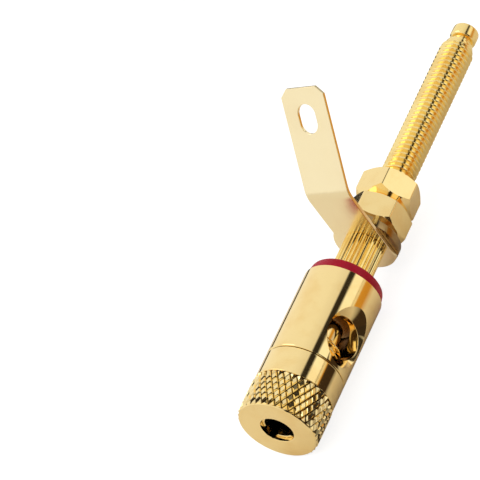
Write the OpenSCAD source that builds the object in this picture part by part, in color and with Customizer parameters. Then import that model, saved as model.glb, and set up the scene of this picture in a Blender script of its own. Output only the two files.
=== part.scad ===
// Metal binding post: a panel terminal that takes a 4 mm plug in its knob and clamps
// a bare wire in a cross hole. The post runs along +Y, from the knob to the stud's tip.
// The origin is the centre of the panel seat, X runs along the wire hole, and +Z is up.

/* [Knob] */
// Diameter over the knurl of the knob
knurl_d = 11.5; // [11.4:0.05:12.5]
// Length of the knurled band
knurl_len = 5.75; // [4:0.25:8]
// Number of diamonds round the knurl
knurl_count = 36; // [24:1:44]
// Angle between the knurl's grooves and the post
knurl_angle = 28; // [20:1:40]
// Depth of the knurl
knurl_depth = 0.25; // [0.1:0.05:0.3]
// Diameter of the smooth collar behind the knurl, and of the clamp sleeve
sleeve_d = 11.3; // [10.8:0.05:11.35]
// Length of the smooth collar
collar_len = 4.1; // [3:0.1:6]
// Outside diameter of the knob's threaded stem
stem_d = 6.9; // [6.6:0.05:7.2]
// Length of the threaded stem behind the collar
stem_len = 5.05; // [4.5:0.05:5.1]
// Diameter of the plunger that presses on the wire
plunger_d = 5; // [4.9:0.05:5.4]
// Length of the plunger behind the stem
plunger_len = 2.95; // [2:0.05:2.95]

/* [Plug socket] */
// Inside diameter of the contact liner, for a 4 mm plug
liner_bore_d = 4.05; // [4.02:0.01:4.15]
// Diameter of the seat that the liner sits in
liner_seat_d = 4.8; // [4.6:0.05:5.2]
// Gap all round between the liner and its seat
liner_fit = 0.03; // [0.02:0.01:0.08]
// Distance from the knob's face to the liner's mouth
liner_recess = 0.6; // [0.3:0.1:1.5]
// Length of the liner
liner_len = 11.4; // [8:0.1:12]
// Number of notches in the liner's mouth
notch_count = 3; // [2:1:4]
// Angle that each notch takes up
notch_angle = 55; // [30:5:60]
// Depth of the notches along the liner
notch_depth = 2.6; // [1:0.1:5]
// Thickness of the wall at the plunger's tip
tip_wall = 1.2; // [1:0.1:2]

/* [Clamp sleeve] */
// Length of the sleeve from the knob to the ring
sleeve_len = 14.05; // [13:0.05:18]
// Radial gap between the stem and the sleeve's bore
stem_gap = 0.1; // [0.06:0.02:0.2]
// Diameter of the wire hole across the sleeve
wire_hole_d = 6; // [4:0.1:6.2]
// Distance from the sleeve's front edge to the wire hole's centre
wire_hole_at = 5.3; // [5:0.05:5.8]
// Diameter of the countersink at the sleeve's skin
countersink_d = 9.3; // [8.4:0.1:9.4]
// Included angle of the countersink
countersink_angle = 104; // [90:1:110]
// Depth of the sleeve's bore
sleeve_bore_depth = 8.8; // [8.6:0.1:10]

/* [Ring] */
// Thickness of the coloured ring
ring_t = 1.65; // [1.2:0.05:3]
// Diameter of the ring at its front edge
ring_d = 11.1; // [10.4:0.1:11.2]
// Diameter of the ring at its rear edge
ring_rear_d = 10.4; // [9.6:0.1:10.6]
// Radius of the ring's rear edge
ring_edge_r = 0.3; // [0.1:0.05:0.5]

/* [Shank and stud] */
// Diameter over the splines of the shank
shank_d = 5.8; // [5.7:0.05:6.6]
// Length of the splined shank behind the panel seat
shank_len = 6.6; // [4:0.1:12]
// Number of splines
spline_count = 26; // [18:1:32]
// Depth of the splines
spline_depth = 0.28; // [0.1:0.01:0.3]
// Thread diameter of the stud
stud_d = 5; // [4.8:0.05:5.2]
// Length of the threaded stud behind the shank
stud_len = 36.1; // [24:0.1:50]
// Diameter of the button at the stud's tip
button_d = 3.88; // [3:0.02:4.2]
// Length of the button
button_len = 2.1; // [1.5:0.1:3]
// Diameter of the neck ahead of the button
neck_d = 2.8; // [2:0.1:2.8]
// Length of the neck
neck_len = 0.9; // [0.5:0.1:2]

/* [Solder lug] */
// Thickness of the lug's sheet
lug_t = 0.5; // [0.3:0.05:1]
// Width of the lug's arm
lug_w = 7.2; // [5:0.1:8.4]
// Diameter of the lug's round head
lug_head_d = 9.3; // [8.8:0.1:12]
// Gap all round between the stud and the lug's hole
lug_fit = 0.1; // [0.05:0.05:0.3]
// Distance from the stud's axis to the start of the bend
lug_bend_at = 9.3; // [6:0.1:14]
// Inside radius of the bend
lug_bend_r = 3.6; // [1:0.1:5]
// Angle of the bend
lug_bend_angle = 31; // [10:1:60]
// Length of the arm beyond the bend
lug_arm_len = 14.4; // [10:0.1:20]
// Width of the wire slot in the arm
slot_w = 3; // [1.5:0.1:4]
// Length of the wire slot
slot_len = 5.2; // [4:0.1:7]
// Distance from the arm's end to the slot's centre
slot_from_end = 4.45; // [3.6:0.05:6]
// Size of the cut corners at the arm's end
lug_corner = 1.15; // [0.3:0.05:2]
// Direction of the lug round the post, from +X towards +Z
lug_turn = 84; // [0:1:359]

/* [Lock washer and nuts] */
// Outside diameter of the lock washer
washer_d = 9.46; // [8:0.02:10]
// Thickness of the washer's wire
washer_t = 1.2; // [0.8:0.05:1.6]
// Rise of the washer's open coil from end to end
washer_rise = 0.15; // [0.05:0.05:0.5]
// Angle of the gap between the washer's ends
washer_gap_angle = 9; // [5:1:20]
// Direction of the washer's gap, from +X towards +Z
washer_turn = 40; // [0:1:359]
// Width across flats of the inner nut
inner_nut_af = 8.3; // [7.8:0.1:9]
// Width across flats of the outer nut
outer_nut_af = 8; // [7.8:0.1:9]
// Height of each nut
nut_h = 4.65; // [3:0.05:6]
// Radial gap between the stud and the nuts' bores
nut_gap = 0.06; // [0.05:0.01:0.1]
// Direction of one corner of the inner nut, from +X towards +Z
inner_nut_turn = 20.7; // [0:0.1:60]
// Direction of one corner of the outer nut, from +X towards +Z
outer_nut_turn = 58.7; // [0:0.1:60]

/* [Hidden] */
$fn = 96;

gold = [0.9, 0.74, 0.42];
pale_gold = [0.93, 0.83, 0.6];
brass = [0.82, 0.62, 0.3];
crimson = [0.62, 0.08, 0.16];

// Places along the post, from the panel seat at 0
ring_front = -ring_t;
sleeve_front = ring_front - sleeve_len;
knurl_rear = sleeve_front - collar_len;
knob_front = knurl_rear - knurl_len;
stem_end = sleeve_front + stem_len;
plunger_end = stem_end + plunger_len;
shank_end = shank_len;
washer_at = shank_end + lug_t;
washer_h = washer_t + washer_rise;
inner_nut_at = washer_at + washer_h;
outer_nut_at = inner_nut_at + nut_h;
thread_end = shank_end + stud_len;

small_edge = 0.12;
stem_taper = 0.6;
plunger_edge = 0.25;
parting_edge = 0.1;
ring_gap = 0.05;
thread_taper_len = 1.4;
thread_taper = 0.55;
button_edge = 0.35;
overlap = 0.05;
liner_mouth_edge = 0.1;

// Turns a solid built along +Z so that it lies along the post's own +Y
module along_post() rotate([-90, 0, 0]) children();

// Turns a solid about the post so that its own +X points at an angle from +X towards +Z
module facing(angle) rotate([0, 0, -angle]) children();

// Solid of revolution from [radius, place along the post] points
module turned(points) rotate_extrude() polygon(points);

// Head of the knob: rows of four-sided points between two crossing sets of V grooves
module knurled_head() {
    columns = 2 * knurl_count;
    half_pitch = PI * knurl_d / columns;
    rows = round(knurl_len / (half_pitch / tan(knurl_angle)));
    crest_r = knurl_d / 2;
    root_r = crest_r - knurl_depth;
    front = knob_front + knurl_depth;
    rear = knurl_rear - small_edge;
    heights = concat(
        [knob_front],
        [for (k = [0:rows]) front + (rear - front) * k / rows],
        [knurl_rear + overlap]
    );
    last = rows + 2;
    corners = [
        for (k = [0:last], i = [0:columns - 1])
            let (
                on_crest = k > 0 && k < last && (i + k) % 2 == 0,
                r = on_crest ? crest_r : k == last ? root_r - overlap : root_r,
                a = i * 360 / columns
            )
                [r * cos(a), r * sin(a), heights[k]]
    ];
    facets = [
        for (k = [0:last - 1], i = [0:columns - 1])
            let (
                n = (i + 1) % columns,
                a = k * columns + i,
                b = k * columns + n,
                c = (k + 1) * columns + n,
                d = (k + 1) * columns + i
            )
                each (i + k) % 2 == 0 ? [[a, d, b], [b, d, c]] : [[a, c, b], [a, d, c]]
    ];
    front_ring = [for (i = [0:columns - 1]) i];
    rear_ring = [for (i = [columns - 1:-1:0]) last * columns + i];
    polyhedron(points = corners, faces = concat([front_ring, rear_ring], facets));
}

// Knob: knurled head, smooth collar, threaded stem and plunger, turned in one piece
module clamp_knob() {
    core_r = (knurl_d / 2 - knurl_depth) * 0.9;
    collar_r = sleeve_d / 2;
    stem_r = stem_d / 2;
    plunger_r = plunger_d / 2;
    liner_end = knob_front + liner_recess + liner_len;
    color(gold) along_post() difference() {
        union() {
            turned([
                [0, knob_front + knurl_depth],
                [core_r, knob_front + knurl_depth],
                [core_r, knurl_rear],
                [collar_r, knurl_rear],
                [collar_r, sleeve_front - parting_edge],
                [collar_r - parting_edge, sleeve_front],
                [stem_r, sleeve_front],
                [stem_r, stem_end - stem_taper],
                [plunger_r, stem_end],
                [plunger_r, plunger_end - plunger_edge],
                [plunger_r - plunger_edge, plunger_end],
                [0, plunger_end]
            ]);
            knurled_head();
        }
        translate([0, 0, knob_front - 1])
            cylinder(h = liner_end - knob_front + 1, d = liner_seat_d);
        translate([0, 0, knob_front - 1])
            cylinder(h = plunger_end - tip_wall - knob_front + 1, d = liner_bore_d);
    }
}

// Contact liner that grips the plug, with notches in its mouth
module socket_liner() {
    liner_r = liner_seat_d / 2 - liner_fit;
    bore_r = liner_bore_d / 2;
    mouth = knob_front + liner_recess;
    color(brass) along_post() difference() {
        turned([
            [bore_r + liner_mouth_edge, mouth],
            [liner_r, mouth],
            [liner_r, mouth + liner_len],
            [bore_r, mouth + liner_len],
            [bore_r, mouth + liner_mouth_edge]
        ]);
        for (i = [0:notch_count - 1])
            facing(76.8 + i * 360 / notch_count)
                translate([0, 0, mouth - 1])
                    linear_extrude(notch_depth + 1)
                        polygon([
                            [0, 0],
                            [liner_seat_d, -liner_seat_d * tan(notch_angle / 2)],
                            [liner_seat_d, liner_seat_d * tan(notch_angle / 2)]
                        ]);
    }
}

// Ridged bar: a round shank whose rim is cut into even V splines
module splined_bar(d, depth, count, h)
    linear_extrude(h)
        polygon([
            for (i = [0:2 * count - 1])
                let (r = i % 2 == 0 ? d / 2 : d / 2 - depth, a = i * 180 / count)
                    [r * cos(a), r * sin(a)]
        ]);

// Wire hole across the sleeve, opened out at both skins
module wire_hole() {
    skin_r = sleeve_d / 2;
    cone_h = (countersink_d - wire_hole_d) / 2 / tan(countersink_angle / 2);
    reach = 1;
    reach_r = countersink_d / 2 + reach * tan(countersink_angle / 2);
    for (side = [0, 180])
        rotate([0, 0, side]) rotate([0, 90, 0]) {
            cylinder(h = skin_r + reach, d = wire_hole_d);
            translate([0, 0, skin_r - cone_h])
                cylinder(h = cone_h + reach, r1 = wire_hole_d / 2, r2 = reach_r);
        }
}

// Clamp sleeve, splined shank and stud, turned in one piece
module post_body() {
    sleeve_r = sleeve_d / 2;
    bore_r = stem_d / 2 + stem_gap;
    stud_r = stud_d / 2;
    button_r = button_d / 2;
    neck_r = neck_d / 2;
    neck_end = thread_end + thread_taper_len + neck_len;
    tip = neck_end + button_len;
    bore_end = sleeve_front + sleeve_bore_depth;
    color(gold) along_post() {
        difference() {
            turned([
                [0, sleeve_front],
                [sleeve_r - parting_edge, sleeve_front],
                [sleeve_r, sleeve_front + parting_edge],
                [sleeve_r, ring_front - small_edge],
                [ring_d / 2, ring_front],
                [stud_r, ring_front],
                [stud_r, thread_end],
                [stud_r - thread_taper, thread_end + thread_taper_len],
                [neck_r, thread_end + thread_taper_len],
                [neck_r, neck_end],
                [button_r - button_edge, neck_end],
                [button_r, neck_end + button_edge],
                [button_r, tip - button_edge],
                [button_r - button_edge, tip],
                [0, tip]
            ]);
            translate([0, 0, sleeve_front - 1]) cylinder(h = sleeve_bore_depth + 1, r = bore_r);
            translate([0, 0, bore_end - overlap]) cylinder(h = bore_r * 0.6, r1 = bore_r, r2 = 0);
            translate([0, 0, sleeve_front + wire_hole_at]) wire_hole();
        }
        translate([0, 0, ring_front - overlap])
            splined_bar(shank_d, spline_depth, spline_count, shank_end - ring_front + overlap);
    }
}

// Coloured plastic ring between the sleeve and the panel
module colour_ring() {
    bore_r = shank_d / 2 + ring_gap;
    front_r = ring_d / 2;
    rear_r = ring_rear_d / 2;
    color(crimson) along_post()
        turned(concat(
            [[bore_r, ring_front], [front_r, ring_front]],
            [
                for (a = [0:15:90])
                    [rear_r - ring_edge_r + ring_edge_r * cos(a), -ring_edge_r + ring_edge_r * sin(a)]
            ],
            [[bore_r, 0]]
        ));
}

// Arc of points round a bend's centre, from an angle below it towards the arm
function bend_arc(r, angles) =
    [for (a = angles) [lug_bend_at + r * sin(a), lug_t + lug_bend_r - r * cos(a)]];

// Edge view of the lug's sheet: flat round the stud, then bent back from the panel
module lug_edge_view() {
    steps = 10;
    angles = [for (i = [0:steps]) lug_bend_angle * i / steps];
    turned_back = [for (i = [steps:-1:0]) angles[i]];
    along = [cos(lug_bend_angle), sin(lug_bend_angle)];
    outer = bend_arc(lug_bend_r + lug_t, angles);
    inner = bend_arc(lug_bend_r, turned_back);
    polygon(concat(
        [[-lug_head_d, lug_t], [-lug_head_d, 0]],
        outer,
        [outer[steps] + lug_arm_len * along, inner[0] + lug_arm_len * along],
        inner
    ));
}

// Solder lug: a round eye on the stud, an arm bent back from the panel, and a wire slot
module solder_lug() {
    half_w = lug_w / 2;
    head_r = lug_head_d / 2;
    hole_r = stud_d / 2 + lug_fit;
    reach = lug_bend_at + lug_bend_r + lug_arm_len;
    slot_at = lug_arm_len - slot_from_end;
    slot_half = (slot_len - slot_w) / 2;
    color(pale_gold) along_post() facing(lug_turn) rotate([0, 0, -90]) translate([0, 0, shank_end])
        difference() {
            intersection() {
                translate([-head_r, 0, 0]) rotate([90, 0, 90])
                    linear_extrude(2 * head_r) lug_edge_view();
                translate([0, 0, -1]) linear_extrude(reach) union() {
                    intersection() {
                        circle(head_r);
                        translate([-half_w, -head_r]) square([half_w + head_r, 2 * head_r]);
                    }
                    translate([-half_w, 0]) square([lug_w, reach]);
                }
            }
            translate([0, 0, -1]) cylinder(h = lug_t + 2, r = hole_r);
            translate([0, lug_bend_at, lug_t + lug_bend_r]) rotate([lug_bend_angle, 0, 0])
                translate([0, 0, -lug_bend_r - lug_t - 1]) {
                    linear_extrude(lug_t + 2) translate([0, slot_at]) {
                        for (end = [-slot_half, slot_half])
                            translate([0, end]) circle(d = slot_w);
                        square([slot_w, 2 * slot_half], center = true);
                    }
                    for (side = [-1, 1])
                        translate([side * half_w, lug_arm_len, 0]) rotate([0, 0, 90 - 45 * side])
                            linear_extrude(lug_t + 2) translate([-lug_corner / sqrt(2), -lug_w / 2])
                                square(lug_w);
                }
        }
}

// Split lock washer: a square-wire coil that rises a little from one end to the other
module lock_washer() {
    outer_r = washer_d / 2;
    inner_r = stud_d / 2 + lug_fit;
    sweep = 360 - washer_gap_angle;
    steps = 60;
    rings = [
        for (i = [0:steps])
            let (a = washer_gap_angle / 2 + sweep * i / steps, z = washer_at + washer_rise * i / steps)
                for (p = [[inner_r, 0], [outer_r, 0], [outer_r, washer_t], [inner_r, washer_t]])
                    [p[0] * cos(a), p[0] * sin(a), z + p[1]]
    ];
    sides = [
        for (i = [0:steps - 1], k = [0:3])
            let (n = (k + 1) % 4)
                [4 * i + k, 4 * i + n, 4 * i + 4 + n, 4 * i + 4 + k]
    ];
    last = 4 * steps;
    color(pale_gold) along_post() facing(washer_turn)
        polyhedron(points = rings,
                   faces = concat([[3, 2, 1, 0]], sides, [[last, last + 1, last + 2, last + 3]]));
}

// Hexagon nut with chamfered corners at both faces
module hex_nut(af, at, turn) {
    flat_r = af / 2;
    corner_r = flat_r / cos(30);
    bore_r = stud_d / 2 + nut_gap;
    front_slope = tan(37);
    rear_slope = tan(30);
    front_drop = 0.7;
    rear_drop = 0.3;
    translate([0, 0, at]) difference() {
        intersection() {
            facing(turn) cylinder(h = nut_h, r = corner_r, $fn = 6);
            turned([
                [0, 0],
                [flat_r - front_drop / front_slope, 0],
                [corner_r, front_drop + (corner_r - flat_r) * front_slope],
                [corner_r, nut_h - rear_drop - (corner_r - flat_r) * rear_slope],
                [flat_r - rear_drop / rear_slope, nut_h],
                [0, nut_h]
            ]);
        }
        translate([0, 0, -1]) cylinder(h = nut_h + 2, r = bore_r);
    }
}

module inner_nut() color(gold) along_post() hex_nut(inner_nut_af, inner_nut_at, inner_nut_turn);

module outer_nut() color(gold) along_post() hex_nut(outer_nut_af, outer_nut_at, outer_nut_turn);

clamp_knob();
socket_liner();
post_body();
colour_ring();
solder_lug();
lock_washer();
inner_nut();
outer_nut();
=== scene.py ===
# %% [markdown]
# # A gold-plated binding post
# A binding post is a terminal that is screwed through a panel. A plug goes into the knob, a bare
# wire goes across the sleeve and is clamped by the knob's plunger, and a lug, a lock washer and two
# nuts hold the stud behind the panel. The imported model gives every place, so this lesson only has
# to make the shapes and the finishes. All shapes are worked out in millimetres, along the Y axis.

# %% Load the fixed frame
from math import atan2, cos, hypot, pi, radians, sin, tan

import bmesh
import bpy
from mathutils import Matrix, Vector


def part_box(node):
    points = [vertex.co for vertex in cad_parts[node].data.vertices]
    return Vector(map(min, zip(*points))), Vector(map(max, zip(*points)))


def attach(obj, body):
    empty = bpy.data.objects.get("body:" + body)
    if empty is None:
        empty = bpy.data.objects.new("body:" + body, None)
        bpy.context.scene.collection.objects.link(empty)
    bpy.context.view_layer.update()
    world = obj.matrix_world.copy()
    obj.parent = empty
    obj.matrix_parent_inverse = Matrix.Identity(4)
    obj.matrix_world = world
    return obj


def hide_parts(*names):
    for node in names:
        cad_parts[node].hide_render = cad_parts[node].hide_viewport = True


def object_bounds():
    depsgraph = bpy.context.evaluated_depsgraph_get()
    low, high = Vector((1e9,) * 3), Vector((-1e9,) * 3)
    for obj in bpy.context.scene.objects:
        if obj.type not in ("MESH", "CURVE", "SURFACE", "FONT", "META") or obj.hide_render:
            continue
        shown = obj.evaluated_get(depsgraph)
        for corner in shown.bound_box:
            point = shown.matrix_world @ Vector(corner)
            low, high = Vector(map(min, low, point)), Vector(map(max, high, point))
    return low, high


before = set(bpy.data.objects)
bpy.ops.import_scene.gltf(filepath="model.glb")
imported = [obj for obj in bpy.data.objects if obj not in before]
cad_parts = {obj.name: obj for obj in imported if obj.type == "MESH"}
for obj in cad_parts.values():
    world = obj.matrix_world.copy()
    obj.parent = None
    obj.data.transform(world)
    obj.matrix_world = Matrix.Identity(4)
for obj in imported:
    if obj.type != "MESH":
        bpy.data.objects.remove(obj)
cad_low, cad_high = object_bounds()
MM = 0.001


def along(node):
    """Where a CAD node starts and ends along the post, in millimetres."""
    low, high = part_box(node)
    return low.y / MM, high.y / MM


knob_front, plunger_end = along("clamp_knob")
sleeve_front, post_tip = along("post_body")
ring_front, seat = along("colour_ring")
washer_front, washer_rear = along("lock_washer")
inner_nut_front, inner_nut_rear = along("inner_nut")
outer_nut_front, outer_nut_rear = along("outer_nut")
liner_front, liner_rear = along("socket_liner")
lug_front = along("solder_lug")[0]
print("knob from", round(knob_front, 2), "mm, stud's tip at", round(post_tip, 2), "mm")

# %% [markdown]
# ## Camera
# The part is small and the view is taken from far off with a long lens, so its sides look almost
# parallel. The camera is rolled, which stands the post up at an angle in the frame. Three unit
# vectors say this without any turning order: where right, up and back point.

# %% Camera
CAMERA_PLACE = Vector((319.5, -253.0, 247.1)) * MM
CAMERA_RIGHT = Vector((0.7120, 0.3801, -0.5905))
CAMERA_UP = Vector((0.1248, 0.7590, 0.6391))
HALF_FRAME, FOCAL = 240, 3500
camera_data = bpy.data.cameras.new("long_lens")
camera_data.sensor_width = 36
camera_data.lens = camera_data.sensor_width / 2 * FOCAL / HALF_FRAME
camera_data.clip_start = 0.02
camera = bpy.data.objects.new("camera", camera_data)
bpy.context.scene.collection.objects.link(camera)
right = CAMERA_RIGHT.normalized()
back = right.cross(CAMERA_UP).normalized()
up = back.cross(right)
stance = Matrix((right, up, back)).transposed().to_4x4()
camera.matrix_world = Matrix.Translation(CAMERA_PLACE) @ stance
bpy.context.scene.camera = camera
bpy.context.scene.view_settings.view_transform = "Standard"

# %% [markdown]
# ## Shared tools for making pieces
# A turned part is a profile spun round the axis, as on a lathe. The profile is a wire of points,
# each with its radius, its place along the post and, where the edge is broken, a rounding.
# Spinning is exact and keeps even quads, which a mirror finish needs. The other helpers grow a
# loop of edges ring by ring, and turn a finished bmesh into a piece that rides on a body.


# %% Profiles and spinning
def wire(points, closed=True):
    """A wire through (radius, place[, rounding]) points, with its corners rounded."""
    bm = bmesh.new()
    corners = [bm.verts.new((p[0], p[1], 0)) for p in points]
    for a, b in zip(corners, corners[1:] + corners[:1] if closed else corners[1:]):
        bm.edges.new((a, b))
    for corner, point in zip(corners, points):
        if len(point) > 2:
            bmesh.ops.bevel(bm, geom=[corner], affect="VERTICES", offset=point[2], segments=4,
                            profile=0.5, material=-1)
    return bm


def turn(points, steps=144, closed=True):
    """A solid of revolution about the post's axis."""
    bm = wire(points, closed)
    bmesh.ops.spin(bm, geom=bm.verts[:] + bm.edges[:], cent=(0, 0, 0), axis=(0, 1, 0),
                   angle=2 * pi, steps=steps, use_merge=True, use_duplicate=False)
    bmesh.ops.remove_doubles(bm, verts=bm.verts, dist=1e-4)
    bmesh.ops.recalc_face_normals(bm, faces=bm.faces)
    return bm


def grow(bm, loop, shape):
    """Extrudes a loop of edges, and puts each new vertex at shape(angle) = (radius, place)."""
    made = bmesh.ops.extrude_edge_only(bm, edges=loop)["geom"]
    fresh = {g for g in made if isinstance(g, bmesh.types.BMVert)}
    for v in fresh:
        angle = atan2(v.co.z, v.co.x)
        radius, place = shape(angle)
        v.co = (radius * cos(angle), place, radius * sin(angle))
    return [g for g in made if isinstance(g, bmesh.types.BMEdge) and set(g.verts) <= fresh]


def facing(degrees_from_x):
    """Turns a shape about the post so that its own +X points from +X towards +Z."""
    return Matrix.Rotation(-radians(degrees_from_x), 3, "Y")


# %% Finished pieces
def mesh_of(bm, name):
    """An object in metres from a bmesh in millimetres."""
    bmesh.ops.scale(bm, verts=bm.verts, vec=(MM, MM, MM))
    mesh = bpy.data.meshes.new(name)
    bm.to_mesh(mesh)
    bm.free()
    obj = bpy.data.objects.new(name, mesh)
    bpy.context.scene.collection.objects.link(obj)
    return obj


def piece(bm, name, skin, body, slot, *nodes, sharp=32):
    """A finished piece: shaded, painted, riding on its body."""
    obj = bm if isinstance(bm, bpy.types.Object) else mesh_of(bm, name)
    obj.data.shade_smooth()
    obj.data.set_sharp_from_angle(angle=radians(sharp))
    weigh = obj.modifiers.new("even_shading", "WEIGHTED_NORMAL")
    weigh.keep_sharp = True
    obj.data.materials.append(skin)
    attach(obj, body)
    if nodes:
        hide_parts(*nodes)
    print(name, len(obj.data.polygons), "faces")
    return obj


def carve(obj, *cutters):
    """Cuts other meshes out of obj and bakes the result into its mesh."""
    for cutter in cutters:
        cut = obj.modifiers.new("cut", "BOOLEAN")
        cut.operation, cut.solver, cut.object = "DIFFERENCE", "EXACT", cutter
        graph = bpy.context.evaluated_depsgraph_get()
        result = bpy.data.meshes.new_from_object(obj.evaluated_get(graph))
        obj.modifiers.clear()
        obj.data = result
        bpy.data.objects.remove(cutter)
    return obj


# %% [markdown]
# ## Real threads
# A thread is one tooth profile that turns and climbs at the same time, so a spin with a step along
# the axis makes one turn of it. Copies of that turn, doubled until there are enough, make the rest,
# and their meeting edges are welded. Two flat cuts then give clean ends, which are filled.


# %% Thread helper
def thread(crest, root, pitch, start, end, steps=48):
    """A threaded rod between two places along the post, right-handed."""
    bm = wire([(root, 0), (root, pitch / 8), (crest, 7 * pitch / 16, pitch / 24),
               (crest, 9 * pitch / 16, pitch / 24), (root, 7 * pitch / 8), (root, pitch)],
              closed=False)
    bmesh.ops.translate(bm, verts=bm.verts, vec=(0, start - 2 * pitch, 0))
    bmesh.ops.spin(bm, geom=bm.verts[:] + bm.edges[:], cent=(0, 0, 0), axis=(0, 1, 0),
                   dvec=(0, pitch / steps, 0), angle=2 * pi, steps=steps,
                   use_merge=False, use_duplicate=False)
    turns, needed = 1, (end - start) / pitch + 4
    while turns < needed:
        copies = bmesh.ops.duplicate(bm, geom=bm.verts[:] + bm.edges[:] + bm.faces[:])["geom"]
        bmesh.ops.translate(bm, verts=[g for g in copies if isinstance(g, bmesh.types.BMVert)],
                            vec=(0, turns * pitch, 0))
        turns *= 2
    bmesh.ops.remove_doubles(bm, verts=bm.verts, dist=0.004)
    for place, side in ((start, -1), (end, 1)):
        bmesh.ops.bisect_plane(bm, geom=bm.verts[:] + bm.edges[:] + bm.faces[:], dist=1e-5,
                               plane_co=(0, place, 0), plane_no=(0, side, 0), clear_outer=True)
    bmesh.ops.holes_fill(bm, edges=bm.edges, sides=0)
    bmesh.ops.recalc_face_normals(bm, faces=bm.faces)
    return bm


def join(*parts):
    """One bmesh from several closed shells."""
    whole = parts[0]
    for part in parts[1:]:
        carrier = bpy.data.meshes.new("carrier")
        part.to_mesh(carrier)
        part.free()
        whole.from_mesh(carrier)
        bpy.data.meshes.remove(carrier)
    return whole


# %% [markdown]
# ## Finishes
# Gold plate is a clear mirror: nearly all of its look is what it reflects. What makes it real is
# what disturbs the mirror a little: lathe lines round the axis, faint smudges that blur it, and
# hair scratches. These marks are shared by every metal, so each is a node group, placed in the
# materials with its own values.


# %% Node helpers
def new_group(name, inputs, outputs):
    """An empty shader group with float inputs, a vector input and float outputs."""
    group = bpy.data.node_groups.new(name, "ShaderNodeTree")
    group.interface.new_socket("Place", in_out="INPUT", socket_type="NodeSocketVector")
    for label, value in inputs:
        made = group.interface.new_socket(label, in_out="INPUT", socket_type="NodeSocketFloat")
        made.default_value = value
    for label in outputs:
        group.interface.new_socket(label, in_out="OUTPUT", socket_type="NodeSocketFloat")
    return group, group.nodes.new("NodeGroupInput"), group.nodes.new("NodeGroupOutput")


def node(tree, kind, **values):
    """A node with attributes and input values set by name; __ stands for a blank."""
    made = tree.nodes.new(kind)
    for key, value in values.items():
        if hasattr(made, key):
            setattr(made, key, value)
        else:
            made.inputs[key.replace("__", " ")].default_value = value
    return made


def ranged(tree, value, start, end, **settings):
    """Takes a value that goes from start to end, and gives one that goes from 0 to 1."""
    made = node(tree, "ShaderNodeMapRange", **settings)
    made.inputs["From Min"].default_value = start
    made.inputs["From Max"].default_value = end
    tree.links.new(value, made.inputs["Value"])
    return made.outputs["Result"]


def combined(tree, first, second, operation="MULTIPLY"):
    """One value from two."""
    made = node(tree, "ShaderNodeMath", operation=operation)
    tree.links.new(first, made.inputs[0])
    tree.links.new(second, made.inputs[1])
    return made.outputs["Value"]


def overlaid(tree, under, mask, colour):
    """A plain colour laid over another where the mask is 1."""
    made = node(tree, "ShaderNodeMix", data_type="RGBA")
    made.inputs["B"].default_value = (*colour, 1)
    tree.links.new(under, made.inputs["A"])
    tree.links.new(mask, made.inputs["Factor"])
    return made.outputs["Result"]


def coloured_by(tree, value, stops, start, end):
    """A ramp of (place, red, green, blue) stops between start and end."""
    made = tree.nodes.new("ShaderNodeValToRGB")
    elements = made.color_ramp.elements
    while len(elements) > 1:
        elements.remove(elements[-1])
    for place, *colour in stops:
        elements.new((place - start) / (end - start)).color = (*colour, 1)
    elements.remove(elements[0])
    tree.links.new(value, made.inputs["Fac"])
    return made.outputs["Color"]


# %% Groups of marks
def handling_marks():
    """Soft smudges and hair scratches."""
    group, given, out = new_group("handling_marks", [("Size", 300.0)], ["Smudge", "Scratch"])
    link = group.links.new
    cloud = node(group, "ShaderNodeTexNoise", Detail=3.0, Roughness=0.55)
    link(given.outputs["Place"], cloud.inputs["Vector"])
    link(given.outputs["Size"], cloud.inputs["Scale"])
    soft = ranged(group, cloud.outputs["Fac"], 0.42, 0.72, interpolation_type="SMOOTHSTEP")
    link(soft, out.inputs["Smudge"])
    tilt = node(group, "ShaderNodeMapping")
    tilt.inputs["Rotation"].default_value = (0.5, 0.3, 0.9)
    tilt.inputs["Scale"].default_value = (1.0, 0.06, 1.0)
    link(given.outputs["Place"], tilt.inputs["Vector"])
    hair = node(group, "ShaderNodeTexNoise", Scale=2600.0, Detail=1.0)
    link(tilt.outputs["Vector"], hair.inputs["Vector"])
    link(ranged(group, hair.outputs["Fac"], 0.66, 0.74), out.inputs["Scratch"])
    return group


def lathe_lines():
    """Fine rings round the post, which a tool leaves on a turned surface."""
    group, given, out = new_group("lathe_lines", [("Fineness", 9000.0)], ["Height"])
    link = group.links.new
    flat = node(group, "ShaderNodeMapping")
    flat.inputs["Scale"].default_value = (0.02, 1.0, 0.02)
    link(given.outputs["Place"], flat.inputs["Vector"])
    rings = node(group, "ShaderNodeTexNoise", Detail=2.0)
    link(flat.outputs["Vector"], rings.inputs["Vector"])
    link(given.outputs["Fineness"], rings.inputs["Scale"])
    link(rings.outputs["Fac"], out.inputs["Height"])
    return group


HANDLING, LATHE = handling_marks(), lathe_lines()


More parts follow.
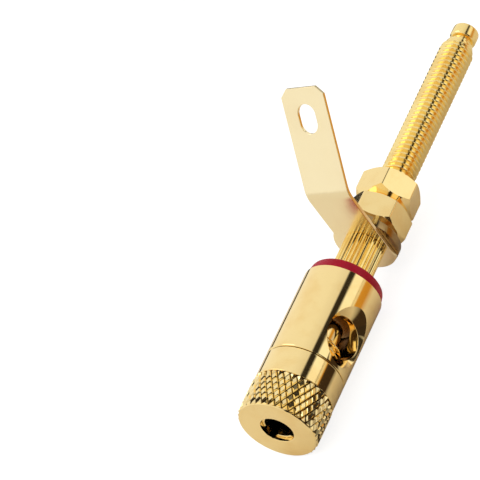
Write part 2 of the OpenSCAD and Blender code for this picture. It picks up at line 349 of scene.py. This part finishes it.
# %% Metal and plastic
def metal(name, colour, dull, roughness, spread, lines, fineness=9000.0, smudge_size=300.0):
    """Plated metal: roughness and colour shift with the smudges, and fine lines stand on it."""
    skin = bpy.data.materials.new(name)
    skin.use_nodes = True
    tree = skin.node_tree
    link = tree.links.new
    shader = tree.nodes["Principled BSDF"]
    shader.inputs["Metallic"].default_value = 1.0
    place = tree.nodes.new("ShaderNodeTexCoord")
    marks = node(tree, "ShaderNodeGroup", node_tree=HANDLING)
    marks.inputs["Size"].default_value = smudge_size
    rings = node(tree, "ShaderNodeGroup", node_tree=LATHE)
    rings.inputs["Fineness"].default_value = fineness
    link(place.outputs["Object"], marks.inputs["Place"])
    link(place.outputs["Object"], rings.inputs["Place"])
    tint = node(tree, "ShaderNodeMix", data_type="RGBA")
    tint.inputs["A"].default_value = (*colour, 1)
    tint.inputs["B"].default_value = (*dull, 1)
    link(marks.outputs["Smudge"], tint.inputs["Factor"])
    link(tint.outputs["Result"], shader.inputs["Base Color"])
    blur = node(tree, "ShaderNodeMapRange")
    blur.inputs["To Min"].default_value = roughness
    blur.inputs["To Max"].default_value = roughness + spread
    link(marks.outputs["Smudge"], blur.inputs["Value"])
    more = node(tree, "ShaderNodeMath", operation="MULTIPLY_ADD")
    more.inputs[1].default_value = 0.04
    link(marks.outputs["Scratch"], more.inputs[0])
    link(blur.outputs["Result"], more.inputs[2])
    link(more.outputs["Value"], shader.inputs["Roughness"])
    bump = node(tree, "ShaderNodeBump", Strength=lines, Distance=0.00002)
    link(rings.outputs["Height"], bump.inputs["Height"])
    link(bump.outputs["Normal"], shader.inputs["Normal"])
    return skin


def darken_as_shade(skin, start, end, colour, radial=False):
    """Paints shade on a metal: its colour darkens from one place to another, along the post or out
    from its axis.
    """
    tree = skin.node_tree
    shader = tree.nodes["Principled BSDF"]
    bright = shader.inputs["Base Color"].links[0].from_socket
    spot = tree.nodes.new("ShaderNodeTexCoord").outputs["Object"]
    if radial:
        flat = node(tree, "ShaderNodeVectorMath", operation="MULTIPLY")
        flat.inputs[1].default_value = (1.0, 0.0, 1.0)
        radius = node(tree, "ShaderNodeVectorMath", operation="LENGTH")
        tree.links.new(spot, flat.inputs[0])
        tree.links.new(flat.outputs["Vector"], radius.inputs[0])
        reach = radius.outputs["Value"]
    else:
        split = tree.nodes.new("ShaderNodeSeparateXYZ")
        tree.links.new(spot, split.inputs["Vector"])
        reach = split.outputs["Y"]
    depth = ranged(tree, reach, start * MM, end * MM, interpolation_type="SMOOTHSTEP")
    tree.links.new(overlaid(tree, bright, depth, colour), shader.inputs["Base Color"])
    return skin


gold = metal("bright_gold_plate", (1.0, 0.77, 0.36), (0.96, 0.70, 0.30), 0.06, 0.06, 0.10)
thread_gold = metal("threaded_gold_plate", (1.0, 0.78, 0.33), (0.94, 0.68, 0.26), 0.11, 0.08, 0.12)
pale_gold = metal("pale_satin_plate", (1.0, 0.85, 0.53), (0.98, 0.82, 0.50), 0.20, 0.04, 0.08,
                  fineness=5000.0, smudge_size=140.0)
contact = metal("contact_spring_plate", (1.0, 0.80, 0.42), (0.9, 0.68, 0.34), 0.14, 0.10, 0.2)
# The liner's colour goes near black from just inside its mouth inwards: painted shade deep in the
# socket.
darken_as_shade(contact, liner_front + 0.5, liner_front + 1.3, (0.07, 0.045, 0.03))
# A dark plate that paints shade: it goes inside the sleeve's bore and on the faces of the gap
# between knob and sleeve.
shadow_plate = metal("painted_shade_dark_plate", (0.30, 0.18, 0.08), (0.20, 0.12, 0.05), 0.16, 0.10, 0.3)
# The washer's plate is darker than the rest of the gold: painted shade where it sits between the
# lug and the nut.
washer_shade_plate = metal("painted_shade_washer_plate", (0.40, 0.26, 0.11), (0.28, 0.17, 0.07), 0.10, 0.10, 0.2)


def ring_plastic():
    """Moulded crimson plastic with a faint orange-peel skin."""
    skin = bpy.data.materials.new("crimson_plastic")
    skin.use_nodes = True
    tree = skin.node_tree
    link = tree.links.new
    shader = tree.nodes["Principled BSDF"]
    shader.inputs["Specular IOR Level"].default_value = 0.10
    place = tree.nodes.new("ShaderNodeTexCoord")
    marks = node(tree, "ShaderNodeGroup", node_tree=HANDLING)
    marks.inputs["Size"].default_value = 500.0
    link(place.outputs["Object"], marks.inputs["Place"])
    tint = node(tree, "ShaderNodeMix", data_type="RGBA")
    tint.inputs["A"].default_value = (0.47, 0.008, 0.034, 1)
    tint.inputs["B"].default_value = (0.40, 0.007, 0.028, 1)
    link(marks.outputs["Smudge"], tint.inputs["Factor"])
    link(tint.outputs["Result"], shader.inputs["Base Color"])
    blur = node(tree, "ShaderNodeMapRange")
    blur.inputs["To Min"].default_value = 0.30
    blur.inputs["To Max"].default_value = 0.42
    link(marks.outputs["Smudge"], blur.inputs["Value"])
    link(blur.outputs["Result"], shader.inputs["Roughness"])
    peel = node(tree, "ShaderNodeTexNoise", Scale=4000.0, Detail=2.0)
    link(place.outputs["Object"], peel.inputs["Vector"])
    bump = node(tree, "ShaderNodeBump", Strength=0.2, Distance=0.00002)
    link(peel.outputs["Fac"], bump.inputs["Height"])
    link(bump.outputs["Normal"], shader.inputs["Normal"])
    return skin


crimson = ring_plastic()

# %% [markdown]
# ## Knob
# The knob is turned from one bar: a knurled head, a smooth collar, a threaded stem and a plunger.
# The knurl is two crossing sets of V grooves that leave four-sided points. It starts as a flat
# strip: in a grid whose vertices are high and low in turn, joining the low ones draws the grooves.
# The points are blunted, and then the strip is rolled up into a band.

# %% Sizes of the knob
KNURL_LENGTH = 5.75
KNURL_REAR = knob_front + KNURL_LENGTH
KNURL_CREST, KNURL_ROOT = 5.75, 5.44
# The last size on the next line is how far out from the knurl's groove roots the painted shade
# reaches.
KNURL_CORE_R, KNURL_INNER_R, KNURL_SHADE_DEPTH = 5.2, 4.6, 0.11
FACE_R, FACE_RIM_R = 5.47, 5.56
EDGE_BREAK = 0.26
KNURL_COLUMNS, KNURL_ROWS, KNURL_BLUNT = 72, 6, 0.56
BODY_R = 5.65
STEM_R, STEM_ROOT, STEM_PITCH = 3.45, 2.92, 1.0
PLUNGER_R = 2.5
LINER_SEAT_R, PLUG_R = 2.4, 2.025
PLUNGER_LENGTH = 2.95
STEM_END = plunger_end - PLUNGER_LENGTH


# %% Knurled band
def knurled_band():
    """A closed band of blunt diamonds, chamfered at both ends."""
    front, rear = knob_front + 0.25, KNURL_REAR - 0.12
    bm = bmesh.new()
    bmesh.ops.create_grid(bm, x_segments=KNURL_COLUMNS, y_segments=KNURL_ROWS, size=0.5)
    side = max(v.co.x for v in bm.verts)
    low, high = [], []
    for v in bm.verts:
        column = round((v.co.x / side + 1) / 2 * KNURL_COLUMNS)
        row = round((v.co.y / side + 1) / 2 * KNURL_ROWS)
        (high if (column + row) % 2 == 0 else low).append(v)
        v.co = (column, front + (rear - front) * row / KNURL_ROWS, 0)
    bmesh.ops.connect_verts(bm, verts=low)
    depth = KNURL_CREST - KNURL_ROOT
    for v in high:
        v.co.z = depth if v.is_boundary else depth / (1 - KNURL_BLUNT)
    inner = [v for v in high if not v.is_boundary]
    bmesh.ops.bevel(bm, geom=inner, affect="VERTICES", offset_type="PERCENT",
                    offset=100 * KNURL_BLUNT, segments=1, profile=0.5, material=-1)
    for v in bm.verts:
        angle = 2 * pi * v.co.x / KNURL_COLUMNS
        radius = KNURL_ROOT + v.co.z
        v.co = (radius * cos(angle), v.co.y, -radius * sin(angle))
    bmesh.ops.remove_doubles(bm, verts=bm.verts, dist=1e-3)
    for place, inset in ((front, knob_front + 0.1), (rear, KNURL_REAR + 0.05)):
        rim = [e for e in bm.edges if e.is_boundary and abs(e.verts[0].co.y - place) < 0.01]
        foot = grow(bm, rim, lambda angle: (KNURL_ROOT - 0.08, inset))
        grow(bm, foot, lambda angle: (KNURL_INNER_R, inset))
    bmesh.ops.bridge_loops(bm, edges=[e for e in bm.edges if e.is_boundary])
    bmesh.ops.recalc_face_normals(bm, faces=bm.faces)
    return bm


# %% Turned core, stem and plunger
bore_end = plunger_end - 1.2
core = turn([
    (0, bore_end + 0.5), (PLUG_R, bore_end), (PLUG_R, liner_rear), (LINER_SEAT_R, liner_rear),
    (LINER_SEAT_R, knob_front, 0.08), (FACE_R, knob_front, 0.04), (FACE_RIM_R, knob_front + 0.12),
    (KNURL_CORE_R, knob_front + 0.4), (KNURL_CORE_R, KNURL_REAR + 0.02),
    (BODY_R, KNURL_REAR + 0.02, 0.12), (BODY_R, sleeve_front, EDGE_BREAK),
    (STEM_ROOT + 0.05, sleeve_front), (STEM_ROOT - 0.1, sleeve_front + 0.3),
    (STEM_ROOT - 0.1, STEM_END - 0.6), (PLUNGER_R, STEM_END, 0.08),
    (PLUNGER_R, plunger_end, 0.25), (0, plunger_end)], steps=192, closed=False)
stem = thread(STEM_R, STEM_ROOT, STEM_PITCH, sleeve_front - 0.3, STEM_END - 0.05)
for v in stem.verts:
    radius = hypot(v.co.x, v.co.z)
    limit = PLUNGER_R - 0.05 + max(0.0, STEM_END - v.co.y) * 1.5
    if radius > limit:
        v.co.x, v.co.z = v.co.x * limit / radius, v.co.z * limit / radius
knob = piece(join(core, knurled_band(), stem), "knurled_knob", gold, "knob", "gold_plate",
             "clamp_knob", sharp=25)
knurl_gold = metal("knurl_gold_plate", (1.0, 0.80, 0.40), (0.96, 0.72, 0.32), 0.10, 0.06, 0.10)
# The knurl's colour goes dark towards the roots of its grooves: painted shade in the grooves.
darken_as_shade(knurl_gold, KNURL_ROOT + KNURL_SHADE_DEPTH, KNURL_ROOT, (0.05, 0.022, 0.008), radial=True)
for skin in (knurl_gold, shadow_plate):
    knob.data.materials.append(skin)
KNURLED, SHADED = 1, 2
# The knurl's faces get the knurl plate. The knob's rear face, across the narrow gap from the
# sleeve, gets the dark plate: painted shade in that gap.
for face in knob.data.polygons:
    middle = face.center / MM
    reach = hypot(middle.x, middle.z)
    if reach > KNURL_ROOT - 0.1 and knob_front + 0.2 < middle.y < KNURL_REAR:
        face.material_index = KNURLED
    elif STEM_R < reach < BODY_R - 0.2 and abs(middle.y - sleeve_front) < 0.02:
        face.material_index = SHADED

# %% [markdown]
# ## Socket liner
# The plug is gripped by a thin spring tube inside the knob. Its mouth has three notches, seen as
# dark bites in the bright rim. A tube is turned, and three short bars are cut out of its end.

# %% Liner
NOTCH_DEPTH, NOTCH_WIDTH, FIRST_NOTCH = 2.6, 2.1, 76.8
tube = mesh_of(turn([(PLUG_R, liner_front, 0.08), (LINER_SEAT_R - 0.03, liner_front, 0.05),
                     (LINER_SEAT_R - 0.03, liner_rear), (PLUG_R, liner_rear)], steps=96),
               "contact_liner")
for third in range(3):
    bar = bmesh.new()
    bmesh.ops.create_cube(bar, size=1)
    bmesh.ops.scale(bar, verts=bar.verts, vec=(3, 2 * NOTCH_DEPTH, NOTCH_WIDTH))
    bmesh.ops.translate(bar, verts=bar.verts, vec=(2.7, liner_front, 0))
    bmesh.ops.rotate(bar, verts=bar.verts, cent=(0, 0, 0), matrix=facing(FIRST_NOTCH + 120 * third))
    carve(tube, mesh_of(bar, "notch"))
piece(tube, "contact_liner", contact, "liner", "contact_brass", "socket_liner")

# %% [markdown]
# ## Clamp sleeve
# The sleeve is a mirror-bright tube with a hole right across it for the wire, countersunk at both
# skins. A curved surface with a hole is awkward to draw by hand, so the tube and a turned cutter
# are made separately, and one is cut from the other.

# %% Sleeve
HOLE_R, SINK_R, SINK_ANGLE = 3.0, 4.65, radians(104)
BORE_R, PARTING = 3.55, 0.07
HOLE_FROM_FRONT, BORE_DEPTH, DRILL_POINT = 5.3, 8.8, 2.0
hole_place = sleeve_front + HOLE_FROM_FRONT
bore_bottom = sleeve_front + BORE_DEPTH
sleeve = mesh_of(turn([
    (0, bore_bottom + DRILL_POINT), (BORE_R, bore_bottom), (BORE_R, sleeve_front + PARTING, 0.1),
    (BODY_R, sleeve_front + PARTING, EDGE_BREAK), (BODY_R, ring_front, 0.06), (0, ring_front)],
    steps=256, closed=False), "clamp_sleeve")
sink_depth = (SINK_R - HOLE_R) / tan(SINK_ANGLE / 2)
flare = SINK_R + tan(SINK_ANGLE / 2)
cutter = turn([(0, -BODY_R - 1), (flare, -BODY_R - 1), (HOLE_R, sink_depth - BODY_R, 0.05),
               (HOLE_R, BODY_R - sink_depth, 0.05), (flare, BODY_R + 1), (0, BODY_R + 1)],
              steps=160, closed=False)
bmesh.ops.rotate(cutter, verts=cutter.verts, cent=(0, 0, 0),
                 matrix=Matrix.Rotation(-pi / 2, 3, "Z"))
bmesh.ops.translate(cutter, verts=cutter.verts, vec=(0, hole_place, 0))
carve(sleeve, mesh_of(cutter, "wire_hole"))
piece(sleeve, "clamp_sleeve", gold, "post", "gold_plate", "post_body", sharp=25)
sleeve.data.materials.append(shadow_plate)
# The bore's faces and the sleeve's front face get the dark plate: painted shade inside the bore and
# in the gap towards the knob.
for face in sleeve.data.polygons:
    middle = face.center / MM
    reach = hypot(middle.x, middle.z)
    in_bore = reach < BORE_R + 0.15 and middle.y < bore_bottom + DRILL_POINT + 0.1
    in_parting = reach < BODY_R - 0.2 and middle.y < sleeve_front + PARTING + 0.02
    face.material_index = int(in_bore or in_parting)

# %% [markdown]
# ## Coloured ring
# A moulded plastic ring tells the two posts of a pair apart. It is turned, with a slight taper and
# a rounded rear edge.

# %% Ring
RING_BORE_R, RING_FRONT_R, RING_REAR_R = 2.95, 5.55, 5.2
moulding = turn([(RING_BORE_R, ring_front), (RING_FRONT_R, ring_front, 0.04),
                 (RING_REAR_R, seat, 0.3), (RING_BORE_R, seat)])
piece(moulding, "colour_ring_moulded", crimson, "post", "ring_plastic", "colour_ring")

# %% [markdown]
# ## Splined shank and stud
# Behind the ring the shank is ridged so that it bites in a panel, and then the stud carries its
# thread to a small button. The ridges grow from a circle whose vertices move in and out.

# %% Splined shank
SPLINES, SPLINE_POINTS = 26, 8
SHANK_R, SPLINE_DEPTH = 2.9, 0.28


def ridge(angle):
    """Radius of the shank: flat-topped ridges with V valleys."""
    share = (angle * SPLINES / (2 * pi)) % 1
    return SHANK_R - SPLINE_DEPTH * max(0.0, abs(2 * share - 1) * 1.6 - 0.6)


shank = bmesh.new()
rim = bmesh.ops.create_circle(shank, segments=SPLINES * SPLINE_POINTS, radius=1,
                              matrix=Matrix.Rotation(pi / 2, 4, "X"))["verts"]
loop = shank.edges[:]
for v in rim:
    v.co.y = ring_front - 0.5
    radius = ridge(atan2(v.co.z, v.co.x))
    v.co.x, v.co.z = v.co.x * radius, v.co.z * radius
loop = grow(shank, loop, lambda angle: (ridge(angle), lug_front - 0.1))
loop = grow(shank, loop, lambda angle: (ridge(angle) - 0.12, lug_front))
bmesh.ops.holes_fill(shank, edges=shank.edges, sides=0)
bmesh.ops.recalc_face_normals(shank, faces=shank.faces)

# %% Threaded stud and its button
STUD_R, STUD_ROOT, STUD_PITCH = 2.5, 2.07, 0.8
BUTTON_LENGTH, NECK_LENGTH, TAPER_LENGTH, TAPER_DEPTH = 2.1, 0.9, 1.4, 0.55
NECK_R, BUTTON_R = 1.25, 1.94
button_front = post_tip - BUTTON_LENGTH
neck_front = button_front - NECK_LENGTH
taper_front = neck_front - TAPER_LENGTH
rod = thread(STUD_R, STUD_ROOT, STUD_PITCH, lug_front - 0.5, neck_front)
for v in rod.verts:
    radius = hypot(v.co.x, v.co.z)
    limit = STUD_R - TAPER_DEPTH / TAPER_LENGTH * max(0.0, v.co.y - taper_front)
    if radius > limit:
        v.co.x, v.co.z = v.co.x * limit / radius, v.co.z * limit / radius
button = turn([(0, neck_front - 0.5), (NECK_R, neck_front - 0.5), (NECK_R, button_front, 0.12),
               (BUTTON_R, button_front, 0.35), (BUTTON_R, post_tip, 0.5), (0, post_tip)],
              steps=96, closed=False)
piece(join(shank, rod, button), "shank_and_stud", thread_gold, "post", "gold_plate", sharp=25)

# %% [markdown]
# ## Solder lug
# The lug is punched from sheet: a round eye, an arm bent back, and a slot for the wire. The flat
# blank is drawn as three loops and filled between them. It is cut across where it will bend, given
# its thickness, and only then bent, as a press does it.

# %% Blank of the lug
LUG_T, LUG_HALF, LUG_HEAD_R, LUG_EYE_R = 0.5, 3.6, 4.65, 2.6
BEND_AT, BEND_R, BEND_ANGLE, ARM = 9.3, 3.6, radians(31), 14.15
SLOT_HALF, SLOT_R, SLOT_AT, CORNER = 0.65, 1.45, 4.45, 1.15
LUG_TURN = radians(84)
flat_bend = (BEND_R + LUG_T / 2) * BEND_ANGLE
blank_end = BEND_AT + flat_bend + ARM
slot_place = blank_end - SLOT_AT


def ring_of(bm, points):
    """A closed wire in the sheet's own plane."""
    corners = [bm.verts.new((x, y, 0)) for x, y in points]
    return [bm.edges.new(pair) for pair in zip(corners, corners[1:] + corners[:1])]


def arc(cx, cy, radius, start, end, count):
    """Points on an arc, angles in degrees."""
    angles = [radians(start + (end - start) * i / count) for i in range(count + 1)]
    return [(cx + radius * cos(angle), cy + radius * sin(angle)) for angle in angles]


lug = bmesh.new()
shoulder = (LUG_HEAD_R ** 2 - LUG_HALF ** 2) ** 0.5
from_left = 180 + atan2(shoulder, LUG_HALF) * 180 / pi
to_right = 360 + atan2(shoulder, LUG_HALF) * 180 / pi
edge = [(-LUG_HALF, blank_end - CORNER), (-LUG_HALF, -shoulder)]
edge += arc(0, 0, LUG_HEAD_R, from_left, to_right, 40)[1:]
edge += [(LUG_HALF, blank_end - CORNER), (LUG_HALF - CORNER, blank_end),
         (CORNER - LUG_HALF, blank_end)]
loops = ring_of(lug, edge)
loops += ring_of(lug, arc(0, 0, LUG_EYE_R, 0, 360, 64)[:-1])
loops += ring_of(lug, arc(0, slot_place + SLOT_HALF, SLOT_R, 0, 180, 20)
                 + arc(0, slot_place - SLOT_HALF, SLOT_R, 180, 360, 20))
bmesh.ops.triangle_fill(lug, use_beauty=True, use_dissolve=False, edges=loops)
BEND_STEPS = 14
for step in range(BEND_STEPS + 1):
    bmesh.ops.bisect_plane(lug, geom=lug.verts[:] + lug.edges[:] + lug.faces[:], dist=1e-4,
                           plane_co=(0, BEND_AT + flat_bend * step / BEND_STEPS, 0),
                           plane_no=(0, 1, 0))

# %% Thickness and bend
raised = bmesh.ops.extrude_face_region(lug, geom=lug.faces[:])["geom"]
bmesh.ops.translate(lug, verts=[g for g in raised if isinstance(g, bmesh.types.BMVert)],
                    vec=(0, 0, LUG_T))
bmesh.ops.recalc_face_normals(lug, faces=lug.faces)
SQUARE_CORNER = 1.2
rims = [e for e in lug.edges
        if len(e.link_faces) == 2 and e.calc_face_angle() > SQUARE_CORNER]
bmesh.ops.bevel(lug, geom=rims, affect="EDGES", offset=0.07, segments=2, profile=0.5, material=-1)
for v in lug.verts:
    past = v.co.y - BEND_AT
    if past > 0:
        turned = min(past / flat_bend, 1) * BEND_ANGLE
        radius = BEND_R + LUG_T - v.co.z
        straight = max(0.0, past - flat_bend)
        v.co.y = BEND_AT + radius * sin(turned) + straight * cos(turned)
        v.co.z = BEND_R + LUG_T - radius * cos(turned) + straight * sin(turned)
across = Vector((-sin(LUG_TURN), 0, cos(LUG_TURN)))
outward = Vector((cos(LUG_TURN), 0, sin(LUG_TURN)))
bmesh.ops.transform(lug, verts=lug.verts,
                    matrix=Matrix((across, outward, Vector((0, 1, 0)))).transposed().to_4x4())
bmesh.ops.translate(lug, verts=lug.verts, vec=(0, lug_front, 0))
piece(lug, "solder_tag", pale_gold, "lug", "pale_plate", "solder_lug", sharp=20)

# %% [markdown]
# ## Split lock washer
# A lock washer is one turn of square wire that is not quite closed, with one end a little higher
# than the other. The wire's section spins and climbs, and the two ends are filled.

# %% Washer
WASHER_R, WASHER_HOLE_R, WASHER_T, WASHER_GAP, WASHER_TURN = 4.73, 2.6, 1.2, 9, 40
sweep = radians(360 - WASHER_GAP)
rise = washer_rear - washer_front - WASHER_T
COIL_STEPS = 120
coil = wire([(WASHER_HOLE_R, washer_front, 0.08), (WASHER_R, washer_front, 0.12),
             (WASHER_R, washer_front + WASHER_T, 0.12),
             (WASHER_HOLE_R, washer_front + WASHER_T, 0.08)])
bmesh.ops.rotate(coil, verts=coil.verts, cent=(0, 0, 0),
                 matrix=facing(WASHER_TURN + 360 - WASHER_GAP / 2))
bmesh.ops.spin(coil, geom=coil.verts[:] + coil.edges[:], cent=(0, 0, 0), axis=(0, 1, 0),
               angle=sweep, dvec=(0, rise / COIL_STEPS, 0), steps=COIL_STEPS,
               use_merge=False, use_duplicate=False)
bmesh.ops.holes_fill(coil, edges=coil.edges, sides=0)
bmesh.ops.recalc_face_normals(coil, faces=coil.faces)
# The washer wears the darker plate: painted shade between lug and nut.
piece(coil, "split_washer", washer_shade_plate, "washer", "pale_plate", "lock_washer")

# %% [markdown]
# ## Nuts
# A nut is a hexagon whose corners are cut back by a cone at both faces, so that each flat ends in
# a curve. The hexagon's loop grows ring by ring: out over the front cone, along the flats, in
# over the rear cone, and back through the bore.

# %% Nut helper
NUT_BORE_R, NUT_BREAK = 2.53, 0.3
FRONT_CONE, FRONT_SLOPE = 0.7, tan(radians(37))
REAR_CONE, REAR_SLOPE = 0.3, tan(radians(30))


def nut(across_flats, front, rear, turned):
    """A hexagon nut between two places along the post."""
    flat_r = across_flats / 2
    bm = bmesh.new()
    bmesh.ops.create_circle(bm, segments=6, radius=flat_r / cos(pi / 6),
                            matrix=Matrix.Rotation(pi / 2, 4, "X"))
    bmesh.ops.rotate(bm, verts=bm.verts, cent=(0, 0, 0), matrix=facing(turned + 30))
    bmesh.ops.bevel(bm, geom=bm.verts[:], affect="VERTICES", offset=0.12, segments=3,
                    profile=0.5, material=-1)
    long_sides = [e for e in bm.edges if e.calc_length() > 1]
    bmesh.ops.subdivide_edges(bm, edges=long_sides, cuts=20)
    outline = {round(atan2(v.co.z, v.co.x), 4): hypot(v.co.x, v.co.z) for v in bm.verts}

    def reach(angle):
        return outline[min(outline, key=lambda known: abs(known - angle))]

    def front_edge(angle):
        return reach(angle), front + FRONT_CONE + (reach(angle) - flat_r) * FRONT_SLOPE

    def rear_edge(angle):
        return reach(angle), rear - REAR_CONE - (reach(angle) - flat_r) * REAR_SLOPE

    rings = [rear_edge,
             lambda angle: (flat_r - REAR_CONE / REAR_SLOPE, rear),
             lambda angle: (NUT_BORE_R + NUT_BREAK, rear),
             lambda angle: (NUT_BORE_R, rear - NUT_BREAK),
             lambda angle: (NUT_BORE_R, front + NUT_BREAK),
             lambda angle: (NUT_BORE_R + NUT_BREAK, front),
             lambda angle: (flat_r - FRONT_CONE / FRONT_SLOPE, front),
             front_edge]
    for v in bm.verts:
        v.co.y = front_edge(atan2(v.co.z, v.co.x))[1]
    loop = bm.edges[:]
    for shape in rings:
        loop = grow(bm, loop, shape)
    bmesh.ops.remove_doubles(bm, verts=bm.verts, dist=1e-3)
    bmesh.ops.recalc_face_normals(bm, faces=bm.faces)
    return bm


# %% Two nuts
INNER_FLATS, INNER_TURN = 8.3, 20.7
OUTER_FLATS, OUTER_TURN = 8.0, 58.7
piece(nut(INNER_FLATS, inner_nut_front, inner_nut_rear, INNER_TURN), "clamping_nut", gold,
      "first_nut", "gold_plate", "inner_nut", sharp=20)
piece(nut(OUTER_FLATS, outer_nut_front, outer_nut_rear, OUTER_TURN), "locking_nut", gold,
      "second_nut", "gold_plate", "outer_nut", sharp=20)

# %% [markdown]
# ## Floor and light
# A mirror finish shows its surroundings, so the light is designed as what the part reflects: a
# wide pale sky, one narrow dark band, and a floor with a pale, an orange and a dark card on it.
# The bands run round the post's axis, which gives the long straight streaks of polished metal. A
# dark screen to the right and a black flag behind give the dark edges. None of this shows directly.

# %% Floor
floor_mesh = bmesh.new()
bmesh.ops.create_grid(floor_mesh, x_segments=1, y_segments=1, size=6000)
bmesh.ops.translate(floor_mesh, verts=floor_mesh.verts, vec=(0, 0, cad_low.z / MM - 0.02))
ground = mesh_of(floor_mesh, "floor")
paper = bpy.data.materials.new("pale_paper")
paper.use_nodes = True
tree = paper.node_tree
sheet = tree.nodes["Principled BSDF"]
sheet.inputs["Base Color"].default_value = (0.28, 0.28, 0.28, 1)
sheet.inputs["Roughness"].default_value = 0.9
sheet.inputs["Emission Color"].default_value = (1, 1, 1, 1)
sheet.inputs["Emission Strength"].default_value = 0.86
seen = tree.nodes.new("ShaderNodeLightPath")
cards = tree.nodes.new("ShaderNodeBsdfDiffuse")
split = tree.nodes.new("ShaderNodeSeparateXYZ")
spot = tree.nodes.new("ShaderNodeTexCoord")
tree.links.new(spot.outputs["Object"], split.inputs["Vector"])
CARD_REACH = 100
CARDS = [(-90, 0.85, 0.80, 0.72), (11, 0.85, 0.80, 0.72), (17, 0.66, 0.33, 0.06),
         (48, 0.70, 0.36, 0.06), (62, 0.90, 0.84, 0.66), (100, 0.90, 0.84, 0.66)]
aside = ranged(tree, split.outputs["X"], -CARD_REACH * MM, CARD_REACH * MM)
card_colour = coloured_by(tree, aside, CARDS, -CARD_REACH, CARD_REACH)
DARK_NEAR, DARK_FAR, DARK_SLANT = (9.5, 12.5), (43.0, 37.0), -0.66
DARK_FRONT, DARK_FOREMOST = (-12.5, -16.0), (-42, -48)
slanted = node(tree, "ShaderNodeMath", operation="MULTIPLY_ADD")
slanted.inputs[1].default_value = DARK_SLANT
tree.links.new(split.outputs["X"], slanted.inputs[0])
tree.links.new(split.outputs["Y"], slanted.inputs[2])


def floor_mask(value, between):
    """Rises from 0 to 1 between two places on the floor, in millimetres."""
    start, end = between
    return ranged(tree, value, start * MM, end * MM)


ahead = slanted.outputs["Value"]
short_or_foremost = combined(tree, floor_mask(split.outputs["X"], DARK_FAR),
                             floor_mask(ahead, DARK_FOREMOST), "MAXIMUM")
width = combined(tree, floor_mask(split.outputs["X"], DARK_NEAR), short_or_foremost)
dark_card = combined(tree, width, floor_mask(ahead, DARK_FRONT))
tree.links.new(overlaid(tree, card_colour, dark_card, (0.05, 0.032, 0.02)), cards.inputs["Color"])
mix = tree.nodes.new("ShaderNodeMixShader")
tree.links.new(seen.outputs["Is Camera Ray"], mix.inputs["Fac"])
tree.links.new(cards.outputs["BSDF"], mix.inputs[1])
tree.links.new(sheet.outputs["BSDF"], mix.inputs[2])
tree.links.new(mix.outputs["Shader"], tree.nodes["Material Output"].inputs["Surface"])
ground.data.materials.append(paper)

# %% Sky
world = bpy.data.worlds.new("studio")
bpy.context.scene.world = world
world.use_nodes = True
tree = world.node_tree
link = tree.links.new
sky = tree.nodes["Background"]
way = tree.nodes.new("ShaderNodeTexCoord")
parts = tree.nodes.new("ShaderNodeSeparateXYZ")
link(way.outputs["Generated"], parts.inputs["Vector"])
turn_angle = node(tree, "ShaderNodeMath", operation="ARCTAN2")
link(parts.outputs["Z"], turn_angle.inputs[0])
link(parts.outputs["X"], turn_angle.inputs[1])
BANDS = [(-180, 0.30, 0.27, 0.22), (-60, 0.50, 0.44, 0.36), (-3, 0.6, 0.5, 0.4),
         (2, 1.05, 1.05, 1.0), (24, 1.05, 1.05, 1.0), (29, 0.03, 0.025, 0.02),
         (42, 0.03, 0.025, 0.02), (46, 0.80, 0.78, 0.74), (75, 0.90, 0.90, 0.88),
         (180, 0.95, 0.95, 0.95)]
share = ranged(tree, turn_angle.outputs["Value"], -pi, pi)
banded = coloured_by(tree, share, BANDS, -180, 180)
SCREEN = [("X", 0.50, 0.62), ("Y", -0.10, -0.22), ("Z", 0.46, 0.38)]
sides = [ranged(tree, parts.outputs[axis], clear, dark) for axis, clear, dark in SCREEN]
screen = combined(tree, combined(tree, sides[0], sides[1]), sides[2])
screened = overlaid(tree, banded, screen, (0.035, 0.025, 0.018))
seen = tree.nodes.new("ShaderNodeLightPath")
link(overlaid(tree, screened, seen.outputs["Is Camera Ray"], (1, 1, 1)), sky.inputs["Color"])

# %% Black flag and softbox
flag = bmesh.new()
bmesh.ops.create_grid(flag, x_segments=1, y_segments=1, size=1)
bmesh.ops.scale(flag, verts=flag.verts, vec=(7, 60, 1))
bmesh.ops.rotate(flag, verts=flag.verts, cent=(0, 0, 0), matrix=Matrix.Rotation(pi / 2, 3, "Y"))
bmesh.ops.translate(flag, verts=flag.verts, vec=(-80, 70, 1))
black_flag = mesh_of(flag, "black_flag")
velvet = bpy.data.materials.new("black_velvet")
velvet.use_nodes = True
nap = velvet.node_tree.nodes["Principled BSDF"]
nap.inputs["Base Color"].default_value = (0.02, 0.018, 0.015, 1)
nap.inputs["Roughness"].default_value = 0.9
black_flag.data.materials.append(velvet)
black_flag.visible_camera = False
black_flag.visible_shadow = False


def softbox(name, place, size, watts):
    """A square area light that looks at the middle of the part."""
    data = bpy.data.lights.new(name, "AREA")
    data.shape, data.size, data.energy = "SQUARE", size, watts
    lamp = bpy.data.objects.new(name, data)
    bpy.context.scene.collection.objects.link(lamp)
    lamp.location = place
    lamp.rotation_euler = (-Vector(place)).to_track_quat("-Z", "Y").to_euler()
    return lamp


softbox("overhead_softbox", (-0.3, -0.1, 0.9), 0.6, 1.2)

# %% Sizes, and the end
print("CAD box", [round(v / MM, 2) for v in (*cad_low, *cad_high)])
